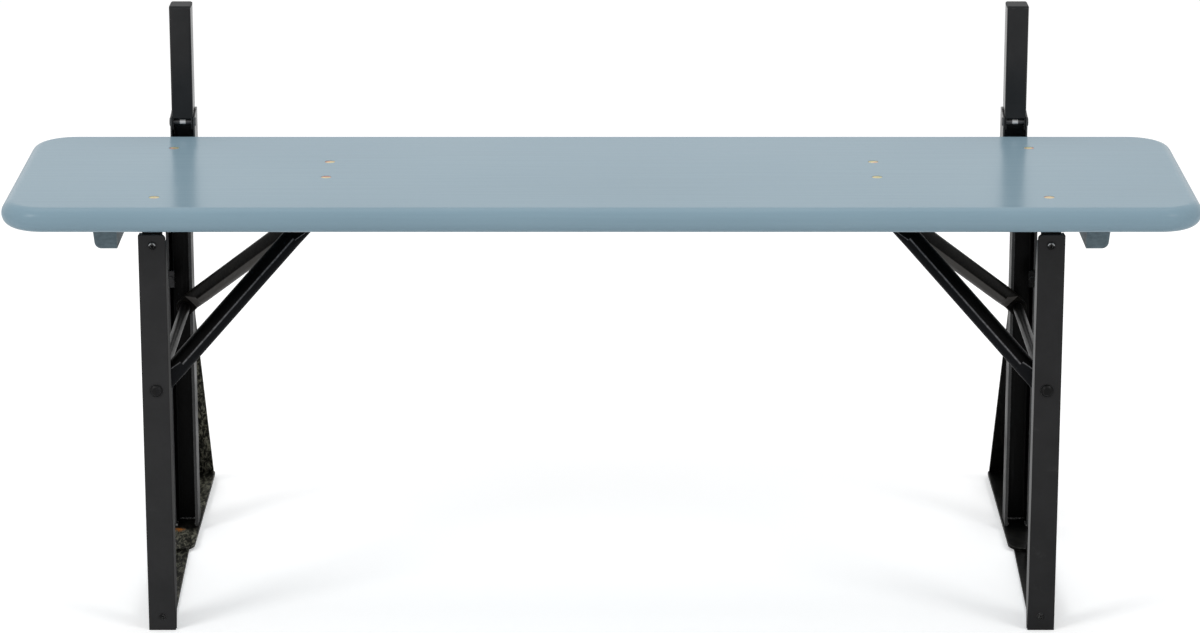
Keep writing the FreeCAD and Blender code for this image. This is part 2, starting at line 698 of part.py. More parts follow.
def strut_shape(low, high, low_thick, high_thick):
    """One strut from its pivot eye on the axle up to its eye on the catch rod."""
    flat_length = s.flat_length.value
    flare_length = s.flare_length.value
    low_width = s.lower_flat_width.value
    high_width = s.upper_flat_width.value
    lean = Vector(high.x - low.x, 0, high.z - low.z).normalize()
    wide = Vector(lean.z, 0, -lean.x)
    axis = Vector(0, 1, 0)
    low_bend = low + lean * flat_length
    high_bend = high - lean * flat_length
    run = (high_bend - low_bend).normalize()
    round_side = run.cross(wide)
    if round_side.y < 0:
        round_side = round_side * -1
    tube = s.strut_radius.value * 2
    sections = [
        obround(low_bend, wide, axis, low_width, low_thick),
        obround(low_bend + run * flare_length, wide, round_side, tube + 0.6, tube),
        obround(high_bend - run * flare_length, wide, round_side, tube + 0.6, tube),
        obround(high_bend, wide, axis, high_width, high_thick),
    ]
    body = Part.makeLoft(sections[0:2], True, True)
    body = body.fuse(Part.makeLoft(sections[1:3], True, True))
    body = body.fuse(Part.makeLoft(sections[2:4], True, True))
    body = body.fuse(flat_eye(low, lean, wide, low_width, low_thick))
    body = body.fuse(flat_eye(high, lean * -1, wide, high_width, high_thick))
    deep = 20
    axle_bore = Part.makeCylinder(
        s.axle_radius.value + s.strut_play.value, deep, low - axis * (deep / 2), axis)
    catch_bore = Part.makeCylinder(
        s.catch_radius.value, deep, high - axis * (deep / 2), axis)
    return body.cut(axle_bore.fuse(catch_bore)).removeSplitter()


def make_strut(stem, low_y, high_y):
    low = Vector(s.pin_x.value, low_y.value, s.axle_height.value)
    high = Vector(s.apex_x.value, high_y.value, s.apex_height.value)
    strut = doc.addObject("Part::Feature", stem)
    shape = strut_shape(low, high, s.lower_eye_thick.value, s.upper_eye_thick.value)
    strut.Shape = shape
    pair(strut, stem)


def make_catch_rod():
    start = s.front_apex_y - s.upper_eye_thick / 2 - s.catch_over
    end = s.rear_apex_y + s.upper_eye_thick / 2 + s.catch_over
    body = new_body("catch_rod", s.apex_x, start, s.apex_height)
    add_slab(body, "rod", "XZ", [(0, 0, s.catch_radius)], 0, end - start)
    round_edges(body, "rims", 1, dict(y=0), dict(y=end - start))
    pair(body, "catch_rod")


# Latch brackets and clips

def clip_rivet_places():
    middle = s.clip_front + s.clip_width / 2
    return [(s.apex_x - 8, middle), (s.apex_x + 9, middle)]


def make_latch_bracket():
    body = new_body("latch_bracket", s.bracket_inner, s.bracket_front, s.underside)
    plate = box_corners(0, 0, s.bracket_width, s.bracket_length)
    add_slab(body, "plate", "XY", plate, -s.bracket_thick, 0)
    corners = [dict(x=x, y=y) for x in (0, s.bracket_width) for y in (0, s.bracket_length)]
    round_edges(body, "corners", s.bracket_corner, *corners)
    holes = [
        (x - s.bracket_inner, y - s.bracket_front, s.bolt_radius + s.bolt_play)
        for x, y in bolt_places()[2:]
    ]
    holes += [
        (x - s.bracket_inner, y - s.bracket_front, s.clip_rivet_radius)
        for x, y in clip_rivet_places()
    ]
    cut_slab(body, "holes", "XY", holes, -s.bracket_thick, 0)
    pair(body, "latch_bracket")


def make_latch_clip():
    """A spring clip whose open side points the way the catch rod leaves it."""
    outer = s.clip_bore + s.clip_thick
    width = s.clip_width
    ring = cylinder("clip_ring", outer, width, 0, 0, 0, "Y")
    arms = block("clip_arms", (-s.clip_lip, 0, -outer), (0, width, outer))
    bore = cylinder("clip_hollow", s.clip_bore, width + 2, 0, -1, 0, "Y")
    mouth = block("clip_mouth", (-outer - 1, -1, -s.clip_bore), (0, width + 1, s.clip_bore))
    grip = cut("clip_grip", fuse("clip_full", [ring, arms]), [bore, mouth])
    grip.Placement = FreeCAD.Placement(
        Vector(s.apex_x.value, s.clip_front.value, s.apex_height.value),
        FreeCAD.Rotation(Vector(0, 1, 0), -s.mouth_angle.value))
    foot_top = s.underside - s.bracket_thick
    foot_low = foot_top - s.clip_thick
    front, rear = s.clip_front, s.clip_front + width
    stem_x = s.apex_x + 1
    stem = block(
        "clip_stem", (stem_x, front, s.apex_height + s.clip_bore + 0.6),
        (stem_x + s.clip_thick * 1.6, rear, foot_top))
    foot = block("clip_foot", (s.apex_x - 12, front, foot_low), (s.apex_x + 12, rear, foot_top))
    holes = [
        cylinder("clip_hole_%d" % number, s.clip_rivet_radius, s.clip_thick + 2, x, y, foot_low - 1)
        for number, (x, y) in enumerate(clip_rivet_places(), start=1)
    ]
    whole = fuse("clip_whole", [grip, stem, foot])
    pair(cut("latch_clip", whole, holes), "latch_clip")


def make_clip_rivets():
    rivets = []
    foot_low = s.underside - s.bracket_thick - s.clip_thick
    head_low = foot_low - s.clip_rivet_head_thick
    for number, (x, y) in enumerate(clip_rivet_places(), start=1):
        name = "clip_rivet_%d" % number
        head = cylinder(
            name + "_head", s.clip_rivet_head, s.clip_rivet_head_thick, x, y, head_low)
        shank = cylinder(
            name + "_shank", s.clip_rivet_radius, s.underside - foot_low, x, y, foot_low)
        rivet = fuse(name, [head, shank])
        rivets += [rivet, mirror(rivet, name + "_left")]
    group("clip_rivets", rivets)


# Backrest posts in their channels

def make_post_channel():
    body = new_body("post_channel", s.channel_inner, s.channel_front, s.underside)
    width, depth, wall = s.channel_width, s.channel_depth, s.channel_wall
    height = s.channel_top - s.underside
    section = [
        (0, 0), (wall, 0), (wall, depth - wall), (width - wall, depth - wall),
        (width - wall, 0), (width, 0), (width, depth), (0, depth),
    ]
    add_slab(body, "channel", "XY", section, 0, height)
    slope = [(-1, height - s.channel_slope), (depth - 4, height + 1), (-1, height + 1)]
    cut_slab(body, "flange_slope", "YZ", slope, -1, width + 1)
    low_x = (width - s.tongue_width) / 2
    tongue = box_corners(low_x, height - 1, low_x + s.tongue_width, s.tongue_top - s.underside)
    add_slab(body, "tongue", "XZ", tongue, depth - wall, depth)
    tongue_top = s.tongue_top - s.underside
    tops = [dict(x=low_x, z=tongue_top), dict(x=low_x + s.tongue_width, z=tongue_top)]
    round_edges(body, "tongue_corners", s.tongue_corner, *tops)
    hole = [(
        s.post_pivot_y - s.channel_front, s.post_pivot_height - s.underside, s.post_bolt_radius)]
    cut_slab(body, "pivot_holes", "YZ", hole, -1, width + 1)
    pair(body, "post_channel", s.post_middle)


def make_post_bolt():
    """The pivot bolt across the channel, with its head inside and its nut outside."""
    inner = s.channel_inner
    outer = s.channel_inner + s.channel_width
    y, z = s.post_pivot_y, s.post_pivot_height
    head_start = inner - s.post_bolt_head_thick
    shank_length = outer - head_start
    head = cylinder(
        "post_bolt_head", s.post_bolt_head, s.post_bolt_head_thick, head_start, y, z, "X")
    shank = cylinder("post_bolt_shank", s.post_bolt_radius, shank_length, head_start, y, z, "X")
    end = cylinder("post_bolt_end", s.post_bolt_head, s.post_bolt_head_thick, outer, y, z, "X")
    pair(fuse("post_bolt", [head, shank, end]), "post_bolt", s.post_middle)


def make_back_post():
    """A rectangular tube whose front wall starts above the pivot bolt."""
    body = new_body("back_post", s.post_x, s.post_pivot_y, s.post_pivot_height)
    half = s.post_width / 2
    front = s.post_front - s.post_pivot_y
    rear = front + s.post_depth
    low = s.post_low - s.post_pivot_height
    top = s.post_top - s.cap_thick - s.post_pivot_height
    add_slab(body, "tube", "XY", box_corners(-half, front, half, rear), low, top)
    corners = [dict(x=x, y=y) for x in (-half, half) for y in (front, rear)]
    round_edges(body, "corners", s.post_corner, *corners)
    inside = half - s.post_wall
    hollow = box_corners(-inside, front + s.post_wall, inside, rear - s.post_wall)
    cut_slab(body, "hollow", "XY", hollow, low, top)
    face_low = s.post_face_low - s.post_pivot_height
    window = box_corners(-inside, low - 1, inside, face_low)
    cut_slab(body, "front_opening", "XZ", window, front - 1, front + s.post_wall + 1)
    heel_rear = rear - s.heel_relief
    heel = [(rear, 0), (heel_rear, low), (heel_rear, low - 1), (rear + 1, low - 1), (rear + 1, 0)]
    cut_slab(body, "heel", "YZ", heel, -half - 1, half + 1)
    hole = [(0, 0, s.post_bolt_radius + s.post_bolt_play)]
    cut_slab(body, "pivot_holes", "YZ", hole, -half - 1, half + 1)
    pair(body, "back_post", s.post_middle)


def make_post_cap():
    body = new_body("post_cap", s.post_x, s.post_front, s.post_top - s.cap_thick)
    half = s.post_width / 2
    cap = box_corners(-half, 0, half, s.post_depth)
    add_slab(body, "cap", "XY", cap, 0, s.cap_thick)
    corners = [dict(x=x, y=y) for x in (-half, half) for y in (0, s.post_depth)]
    round_edges(body, "corners", s.post_corner, *corners)
    round_edges(body, "rim", s.cap_round, dict(z=s.cap_thick))
    inside = half - s.post_wall
    plug = box_corners(-inside, s.post_wall, inside, s.post_depth - s.post_wall)
    add_slab(body, "plug", "XY", plug, -s.cap_plug, 0)
    pair(body, "post_cap", s.post_middle)


def build_all():
    make_seat_board()
    make_seat_fastenings()
    make_end_batten()
    make_batten_screws()
    make_hinge_rail()
    make_hinge_ear("hinge_ear_front", s.rail_front)
    make_hinge_ear("hinge_ear_rear", s.rail_rear - s.ear_thick)
    make_hinge_pins()
    make_front_leg()
    make_rear_upright()
    make_foot_rail()
    make_foot_plate()
    make_rear_brace()
    make_stop_lug()
    make_foot_rivet()
    make_strut_axle()
    make_axle_spacer()
    make_axle_nuts()
    make_strut("front_strut", FRONT_EYE_Y, s.front_apex_y)
    make_strut("rear_strut", s.rear_eye_y, s.rear_apex_y)
    make_catch_rod()
    make_latch_bracket()
    make_latch_clip()
    make_clip_rivets()
    make_post_channel()
    make_post_bolt()
    make_back_post()
    make_post_cap()
    doc.recompute()


def check_all():
    """Stop before writing if any object failed or any sub-part is not a sound solid."""
    for item in doc.Objects:
        if "Invalid" in item.State or "Error" in item.State:
            raise RuntimeError(item.Label + " did not build")
    for name, item in nodes.items():
        if item.Shape.isNull() or not item.Shape.isValid() or not item.Shape.Solids:
            raise RuntimeError(name + " is not a sound solid")


def write_all():
    os.makedirs("parts", exist_ok=True)
    for name, item in nodes.items():
        item.Shape.exportStep(os.path.join("parts", name + ".step"))
        print("%-22s %2d solids %10.0f mm3" % (name, len(item.Shape.Solids), item.Shape.Volume))


build_all()
check_all()
write_all()
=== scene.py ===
import math

import bpy
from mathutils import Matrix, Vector


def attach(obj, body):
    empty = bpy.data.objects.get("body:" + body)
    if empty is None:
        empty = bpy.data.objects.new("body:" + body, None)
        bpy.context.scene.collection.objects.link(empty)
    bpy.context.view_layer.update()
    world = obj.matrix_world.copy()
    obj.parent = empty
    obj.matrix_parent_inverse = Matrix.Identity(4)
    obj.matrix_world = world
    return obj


# A folding bench: glossy slate-blue seat board on black steel leg frames.
# Everything is in metres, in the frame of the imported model.

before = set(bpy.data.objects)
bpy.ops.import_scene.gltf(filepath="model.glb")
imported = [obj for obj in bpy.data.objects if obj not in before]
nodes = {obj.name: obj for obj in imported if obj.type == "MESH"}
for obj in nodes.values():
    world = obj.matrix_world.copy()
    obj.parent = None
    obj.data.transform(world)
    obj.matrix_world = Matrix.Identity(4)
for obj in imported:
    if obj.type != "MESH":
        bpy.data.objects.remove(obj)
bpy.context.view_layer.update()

# The sign of X on either side of the bench.
WAYS = {"left": -1, "right": 1}

# The photo's camera, solved from the seat's corners, the bolts and the feet.
PHOTO_WIDTH = 1200
FOCAL_PIXELS = 4351.2
SENSOR_WIDTH = 36.0
CAMERA_PLACE = (-0.00165, -4.4566, 1.5056)
CAMERA_PITCH = math.radians(15.531)

# Places on the imported model where a finish changes, and where painted highlights and painted
# shade lie.
FLANGE_EDGE_Y = 0.0815
CHANNEL_EDGE_Y = 0.0515
PIN_X = 0.45
PIN_HEIGHT = 0.4072
PIN_RIM_RADIUS = 0.0031
POSTS_MIDDLE_X = -0.0028
POST_REACH = 0.4423
BARREL_HALF = 0.0029
SHADED_FOOT_Y = 0.094
RUST_SPOT = (-0.462, 0.068, 0.006)
RUST_RADIUS = 0.009

# Middle lines of the right-hand side's welds. The left-hand side mirrors them.
WELD_RADIUS = 0.0016
WELD_PITCH = 0.0035
RING_POINTS = 8
INNER_FLANGE_X = 0.4456
OUTER_FLANGE_X = 0.4662
WEB_WELD_INSET = 0.0006
INNER_FLANGE_WELD_Y = (0.0860, 0.1030)
OUTER_FLANGE_WELD_Y = (0.0800, 0.0950)
WEB_FRONT_Y = 0.1060
WEB_BACK_Y = 0.1100
BRACE_WELD_X = (0.4438, 0.4660)
EAR_WELD_HALF = 0.0088
FRONT_EAR_Y = -0.2330
REAR_EAR_Y = 0.1017
PLATE_TOP = 0.0066
BRACE_TOP = 0.2362
EAR_TOP = 0.4250

# The rolled inner edge of a front leg.
LEG_EDGE_X = 0.4363
LEG_EDGE_Y = -0.2393
LEG_EDGE_LOW = 0.0016
LEG_EDGE_HIGH = 0.4130
LEG_EDGE_RADIUS = 0.0015
LEG_EDGE_PITCH = 0.1

# The colour sockets of a mix node, which share their names with others.
MIX_FIRST = 6
MIX_SECOND = 7
MIX_RESULT = 2

FLOOR_HALF = 12.0
FLOOR_GLOW = 0.30
LAMP_TARGET = (0, 0, 0.3)


# Material helpers

def linear(red, green, blue):
    """The scene-linear colour of an sRGB one given from 0 to 255."""
    values = []
    for part in (red, green, blue):
        part = part / 255
        values.append(part / 12.92 if part <= 0.04045 else ((part + 0.055) / 1.055) ** 2.4)
    return (*values, 1.0)


class Finish:
    """A node material that is being put together."""

    def __init__(self, name, roughness=0.5, metallic=0.0, specular=0.5):
        self.material = bpy.data.materials.new(name)
        self.material.use_nodes = True
        self.tree = self.material.node_tree
        self.surface = self.tree.nodes["Principled BSDF"]
        self.set("Roughness", roughness)
        self.set("Metallic", metallic)
        self.set("Specular IOR Level", specular)
        self.place = self.add("TexCoord").outputs["Object"]

    def add(self, kind, **settings):
        node = self.tree.nodes.new("ShaderNode" + kind)
        for name, value in settings.items():
            setattr(node, name, value)
        return node

    def set(self, socket, value):
        self.surface.inputs[socket].default_value = value

    def link(self, source, target):
        self.tree.links.new(source, target)

    def stretched(self, scale):
        """Coordinates scaled apart along X, Y and Z, in repeats a metre."""
        mapping = self.add("Mapping")
        mapping.inputs["Scale"].default_value = scale
        self.link(self.place, mapping.inputs["Vector"])
        return mapping.outputs["Vector"]

    def noise(self, scale, detail=3.0, roughness=0.55, distortion=0.0):
        """Noise from 0 to 1, at a scale given for all axes or for each."""
        if isinstance(scale, tuple):
            vector = self.stretched(scale)
            scale = 1.0
        else:
            vector = self.place
        node = self.add("TexNoise")
        node.inputs["Scale"].default_value = scale
        node.inputs["Detail"].default_value = detail
        node.inputs["Roughness"].default_value = roughness
        node.inputs["Distortion"].default_value = distortion
        self.link(vector, node.inputs["Vector"])
        return node.outputs["Fac"]

    def ramp(self, value, *stops):
        """A colour ramp through (position, colour) stops."""
        node = self.add("ValToRGB")
        band = node.color_ramp
        while len(band.elements) < len(stops):
            band.elements.new(0.5)
        for element, (position, colour) in zip(band.elements, stops):
            element.position = position
            element.color = colour
        self.link(value, node.inputs["Fac"])
        return node.outputs["Color"]

    def span(self, value, low, high, to_low, to_high):
        """Map a value from one range to another, held at the ends."""
        node = self.add("MapRange")
        ends = (low, high, to_low, to_high)
        names = ("From Min", "From Max", "To Min", "To Max")
        for name, end in zip(names, ends):
            node.inputs[name].default_value = end
        self.link(value, node.inputs["Value"])
        return node.outputs["Result"]

    def along(self, axis):
        """The place along one axis, in metres."""
        parts = self.add("SeparateXYZ")
        self.link(self.place, parts.inputs["Vector"])
        return parts.outputs[axis]

    def maths(self, operation, first, second=0.0):
        node = self.add("Math", operation=operation)
        for index, value in enumerate((first, second)):
            if isinstance(value, (int, float)):
                node.inputs[index].default_value = value
            else:
                self.link(value, node.inputs[index])
        return node.outputs["Value"]

    def gap(self, value, target):
        """How far a value is from its target, either way."""
        return self.maths("ABSOLUTE", self.maths("SUBTRACT", value, target))

    def mix(self, amount, first, second):
        """Blend two colours, each a socket or a plain colour."""
        node = self.add("Mix", data_type="RGBA")
        self.link(amount, node.inputs["Factor"])
        for index, colour in ((MIX_FIRST, first), (MIX_SECOND, second)):
            socket = node.inputs[index]
            if isinstance(colour, tuple):
                socket.default_value = colour
            else:
                self.link(colour, socket)
        return node.outputs[MIX_RESULT]

    def bump(self, height, distance, strength=1.0, below=None):
        """Relief of the given depth in metres, laid over an earlier one if there is one."""
        node = self.add("Bump")
        node.inputs["Strength"].default_value = strength
        node.inputs["Distance"].default_value = distance
        self.link(height, node.inputs["Height"])
        if below is not None:
            self.link(below, node.inputs["Normal"])
        return node.outputs["Normal"]

    def edge_mask(self, radius, low, high):
        """1 on edges sharper than the radius, and 0 on flat stretches."""
        soft = self.add("Bevel", samples=6)
        soft.inputs["Radius"].default_value = radius
        flat = self.add("NewGeometry")
        likeness = self.add("VectorMath", operation="DOT_PRODUCT")
        self.link(soft.outputs["Normal"], likeness.inputs[0])
        self.link(flat.outputs["Normal"], likeness.inputs[1])
        return self.span(likeness.outputs["Value"], high, low, 0.0, 1.0)

    def colour(self, source):
        self.link(source, self.surface.inputs["Base Color"])

    def rough(self, source):
        self.link(source, self.surface.inputs["Roughness"])

    def relief(self, normal):
        self.link(normal, self.surface.inputs["Normal"])


# Materials

def seat_paint():
    """Glossy slate-blue paint with the wood's grain just showing through."""
    finish = Finish("seat_paint", roughness=0.26, specular=0.10)
    grain = finish.noise((5.0, 260.0, 260.0), detail=5.0, roughness=0.6)
    clouds = finish.noise(2.2, detail=2.0)
    shade = finish.maths("ADD", finish.maths("MULTIPLY", grain, 0.45), clouds)
    colour = finish.ramp(
        shade,
        (0.45, linear(123, 147, 160)),
        (0.72, linear(128, 152, 165)),
        (0.95, linear(133, 156, 168)),
    )
    finish.colour(colour)
    finish.rough(finish.span(grain, 0.35, 0.65, 0.17, 0.25))
    peel = finish.noise(420.0, detail=1.0)
    relief = finish.bump(grain, 0.00006, 0.35)
    finish.relief(finish.bump(peel, 0.00003, 0.25, below=relief))
    return finish.material


def batten_paint():
    """The same paint, thinner and duller on the battens below."""
    finish = Finish("batten_paint", roughness=0.5, specular=0.2)
    grain = finish.noise((140.0, 9.0, 260.0), detail=5.0, roughness=0.65)
    colour = finish.ramp(
        grain,
        (0.30, linear(84, 98, 104)),
        (0.55, linear(98, 113, 120)),
        (0.80, linear(110, 125, 132)),
    )
    finish.colour(colour)
    finish.rough(finish.span(grain, 0.3, 0.7, 0.42, 0.6))
    finish.relief(finish.bump(grain, 0.0002, 0.5))
    return finish.material


class Enamel(Finish):
    """Semi-gloss black enamel on steel, with an uneven skin and soft, worn edges."""

    def __init__(self, name, dark, light, specular, wear=0.5):
        super().__init__(name, roughness=0.38, specular=specular)
        patches = self.noise(28.0, detail=4.0, roughness=0.6)
        self.skin = self.ramp(patches, (0.35, linear(*dark)), (0.65, linear(*light)))
        self.rough(self.span(patches, 0.3, 0.7, 0.30, 0.46))
        chips = self.noise(140.0, detail=4.0, roughness=0.7)
        chance = self.span(chips, 0.42, 0.66, 0.0, wear)
        self.worn = self.maths("MULTIPLY", self.edge_mask(0.0009, 0.80, 0.97), chance)

    def cover(self, amount, colour):
        """Lay another colour over the skin where the amount is high."""
        self.skin = self.mix(amount, self.skin, colour)

    def near(self, place, radius):
        """1 at a place, falling to 0 at the radius."""
        node = self.add("VectorMath", operation="DISTANCE")
        self.link(self.place, node.inputs[0])
        node.inputs[1].default_value = place
        return self.span(node.outputs["Value"], 0.0, radius, 1.0, 0.0)

    def strip(self, axis, target):
        """1 on a face that lies at the target along an axis."""
        return self.span(self.gap(self.along(axis), target), 0.0002, 0.0004, 1.0, 0.0)

    def close(self, hammer_scale, hammer_depth, bare=(150, 150, 150)):
        """Finish the colour with its worn edges, and the skin with its relief."""
        self.colour(self.mix(self.worn, self.skin, linear(*bare)))
        rounded = self.add("Bevel", samples=6)
        rounded.inputs["Radius"].default_value = 0.0007
        hammer = self.noise(hammer_scale, detail=2.0)
        relief = self.bump(hammer, hammer_depth, 0.6, below=rounded.outputs["Normal"])
        fine = self.noise(1500.0, detail=2.0)
        self.relief(self.bump(fine, 0.00002, 0.3, below=relief))
        return self.material


def leg_enamel_lit_shaded(side, dark, light):
    """The outer faces of a front leg, evenly dark grey; the left copy is painted lighter as lit
    and the right darker as shaded.
    """
    finish = Enamel("leg_enamel_lit_shaded_" + side, dark, light, specular=0.2, wear=0.3)
    scuffs = finish.noise((30.0, 160.0, 60.0), detail=6.0, roughness=0.7, distortion=0.6)
    finish.cover(finish.span(scuffs, 0.62, 0.80, 0.0, 0.12), linear(96, 96, 94))
    return finish.close(240.0, 0.00010)


def post_enamel():
    """Smoother and glossier enamel on the backrest posts."""
    finish = Enamel("post_enamel", (32, 32, 33), (38, 38, 39), specular=0.2, wear=0.3)
    finish.rough(finish.span(finish.noise(60.0), 0.3, 0.7, 0.12, 0.20))
    return finish.close(240.0, 0.00006)


def channel_enamel():
    """Glossy black in the posts' channels, which mirrors a little of the seat, with a painted
    highlight on the flanges' front edges.
    """
    finish = Enamel("channel_enamel", (16, 16, 17), (26, 26, 27), specular=0.45, wear=0.6)
    finish.rough(finish.span(finish.noise(60.0), 0.3, 0.7, 0.16, 0.28))
    # Painted highlight: a light grey strip on the flanges' front edges, where they catch the
    # light.
    finish.cover(finish.strip("Y", CHANNEL_EDGE_Y), linear(70, 70, 70))
    return finish.close(240.0, 0.00015)


def edge_highlight_enamel(side, grey):
    """The rolled edge of a front leg, light grey as a painted highlight line, lighter on one
    side.
    """
    finish = Enamel("edge_highlight_enamel_" + side, grey, grey, specular=0.2, wear=0.3)
    return finish.close(300.0, 0.00010)


def shaded_inner_enamel():
    """The pieces behind and between the legs, in a deeper black than the faces as painted
    shade, with faint painted highlight streaks.
    """
    finish = Enamel("shaded_inner_enamel", (4, 4, 4), (9, 9, 9), specular=0.08, wear=0.45)
    # Painted highlights: faint light vertical streaks that stand for glints on the dark enamel.
    runs = finish.noise((150.0, 90.0, 9.0), detail=5.0, roughness=0.65)
    finish.cover(finish.span(runs, 0.56, 0.74, 0.0, 0.5), linear(44, 44, 44))
    # Painted highlight: a grey strip on the flanges' front edges, where they catch the light.
    finish.cover(finish.strip("Y", FLANGE_EDGE_Y), linear(60, 60, 60))
    return finish.close(260.0, 0.00025)


class StrutEnamel(Enamel):
    """The brace tubes' thick hammered black, with painted light laid on by which way their
    faces point.
    """

    def __init__(self, name):
        super().__init__(name, (3, 3, 3), (7, 7, 7), specular=0.03, wear=0.2)
        parts = self.add("SeparateXYZ")
        self.link(self.add("TexCoord").outputs["Normal"], parts.inputs["Vector"])
        self.upward = parts.outputs["Z"]


def front_strut_enamel():
    """A painted highlight as a thin speckled line along the tube, with a painted lighter
    charcoal below it, as if lit from below.
    """
    finish = StrutEnamel("front_strut_enamel")
    # Painted light: faces that point less upward get a lighter charcoal, as if lit from below.
    finish.cover(finish.span(finish.upward, 0.26, 0.32, 1.0, 0.0), linear(19, 20, 22))
    # Painted highlight: a thin speckled light line along the tube where its faces point a set
    # way up.
    line = finish.span(finish.gap(finish.upward, 0.306), 0.02, 0.07, 1.0, 0.0)
    highlight_specks = finish.span(finish.noise(210.0, detail=6.0, roughness=0.8), 0.36, 0.64, 0.25, 1.0)
    speckled = finish.maths("MULTIPLY", line, highlight_specks)
    finish.cover(speckled, linear(118, 118, 120))
    return finish.close(560.0, 0.0004)


def rear_strut_enamel():
    """Painted lighter brown-grey along the underside, where light from below falls, and mottled
    brown-black above.
    """
    finish = StrutEnamel("rear_strut_enamel")
    mottle = finish.span(finish.noise(240.0, detail=5.0, roughness=0.75), 0.42, 0.66, 0.0, 0.7)
    finish.cover(mottle, linear(26, 24, 20))
    # Painted light: the underside is lighter brown-grey, as if lit from below.
    under = finish.span(finish.upward, -0.50, -0.40, 1.0, 0.0)
    finish.cover(under, linear(74, 72, 70))
    return finish.close(560.0, 0.0003)


def foot_enamel():
    """Black on the floor bars and braces, dusty in streaks on the left, kept black as painted
    shade in a band by the uprights, with a spot of rust.
    """
    finish = Enamel("foot_enamel", (2, 2, 2), (5, 5, 5), specular=0.06, wear=0.6)
    streaks = finish.noise((260.0, 85.0, 120.0), detail=4.0, roughness=0.7, distortion=0.8)
    on_left = finish.span(finish.along("X"), -0.1, 0.1, 1.0, 0.03)
    # Painted shade: a band across Y near the uprights' feet keeps out the dust, so it stays
    # black as if in shadow.
    from_shade = finish.gap(finish.along("Y"), SHADED_FOOT_Y)
    outside_shade = finish.span(from_shade, 0.018, 0.034, 0.06, 1.0)
    dust_outside_shade = finish.maths("MULTIPLY", on_left, outside_shade)
    dust = finish.maths("MULTIPLY", finish.span(streaks, 0.47, 0.60, 0.04, 1.0), dust_outside_shade)
    finish.cover(dust, linear(102, 101, 89))
    blotch = finish.span(finish.noise(300.0, detail=4.0), 0.35, 0.6, 0.0, 1.0)
    spot = finish.maths("MULTIPLY", finish.near(RUST_SPOT, RUST_RADIUS), blotch)
    finish.cover(finish.span(spot, 0.15, 0.5, 0.0, 1.0), linear(148, 92, 40))
    return finish.close(180.0, 0.0003, bare=(178, 176, 170))


def zinc_plate():
    """Dulled bright zinc on rivets and bolts."""
    finish = Finish("zinc_plate", roughness=0.38, metallic=1.0)
    patches = finish.noise(700.0, detail=3.0)
    colour = finish.ramp(patches, (0.3, linear(120, 122, 125)), (0.7, linear(188, 190, 193)))
    finish.colour(colour)
    finish.rough(finish.span(patches, 0.3, 0.7, 0.28, 0.5))
    return finish.material


def blackened_zinc():
    """Fasteners that were painted over with the frame, and rubbed bare in spots."""
    finish = Enamel("blackened_zinc", (10, 10, 10), (22, 22, 23), specular=0.12, wear=0.9)
    return finish.close(420.0, 0.00012, bare=(170, 170, 170))


def pin_enamel():
    """The hinge pins: black rivets with a painted highlight on the top of the hollow's rim."""
    finish = Enamel("pin_enamel", (6, 6, 6), (14, 14, 14), specular=0.08, wear=0.6)
    across = finish.maths("SUBTRACT", finish.maths("ABSOLUTE", finish.along("X")), PIN_X)
    above = finish.maths("SUBTRACT", finish.along("Z"), PIN_HEIGHT)
    flat = finish.add("CombineXYZ")
    finish.link(across, flat.inputs["X"])
    finish.link(above, flat.inputs["Y"])
    length = finish.add("VectorMath", operation="LENGTH")
    finish.link(flat.outputs["Vector"], length.inputs[0])
    from_rim = finish.gap(length.outputs["Value"], PIN_RIM_RADIUS)
    # Painted highlight: light arcs on the upper rim of the hollow, where the rim catches the
    # light.
    rim = finish.span(from_rim, 0.0004, 0.0008, 1.0, 0.0)
    lit = finish.span(above, 0.0004, 0.0014, 0.0, 1.0)
    side = finish.span(finish.maths("ABSOLUTE", across), 0.0006, 0.0012, 0.25, 1.0)
    rim_highlight = finish.maths("MULTIPLY", finish.maths("MULTIPLY", rim, lit), side)
    finish.cover(rim_highlight, linear(176, 176, 176))
    return finish.close(420.0, 0.00012, bare=(190, 190, 190))


def barrel_zinc():
    """Zinc on the posts' pivot bolts, with a painted highlight across the middle of each barrel
    and painted shade beside it.
    """
    finish = Enamel("barrel_zinc", (56, 56, 58), (74, 74, 76), specular=0.4, wear=0.5)
    # Painted highlight: a light band across the middle of each barrel; the darker grey beside
    # it stands for shade.
    reach = finish.gap(finish.along("X"), POSTS_MIDDLE_X)
    from_post = finish.gap(reach, POST_REACH)
    bare = finish.span(from_post, BARREL_HALF, BARREL_HALF + 0.0003, 1.0, 0.0)
    finish.cover(bare, linear(206, 206, 206))
    return finish.close(700.0, 0.00008)


def weld_enamel():
    """Weld beads under thin paint, with light grey in random patches."""
    finish = Enamel("weld_enamel", (14, 14, 14), (40, 40, 40), specular=0.3, wear=0.8)
    rubbed = finish.noise(420.0, detail=3.0)
    finish.cover(finish.span(rubbed, 0.46, 0.62, 0.0, 0.8), linear(128, 128, 126))
    return finish.close(500.0, 0.0003)


def yellow_zinc():
    """Yellow chromate on the seat bolts, with its pink and green sheen."""
    finish = Finish("yellow_zinc", roughness=0.36, metallic=0.75)
    sheen = finish.noise(95.0, detail=2.0, distortion=0.8)
    colour = finish.ramp(
        sheen,
        (0.30, linear(160, 104, 84)),
        (0.42, linear(206, 150, 132)),
        (0.52, linear(216, 196, 150)),
        (0.62, linear(190, 190, 140)),
        (0.74, linear(206, 172, 112)),
    )
    finish.colour(colour)
    fine = finish.noise(900.0, detail=3.0)
    finish.rough(finish.span(fine, 0.3, 0.7, 0.28, 0.5))
    finish.relief(finish.bump(fine, 0.00004, 0.4))
    return finish.material


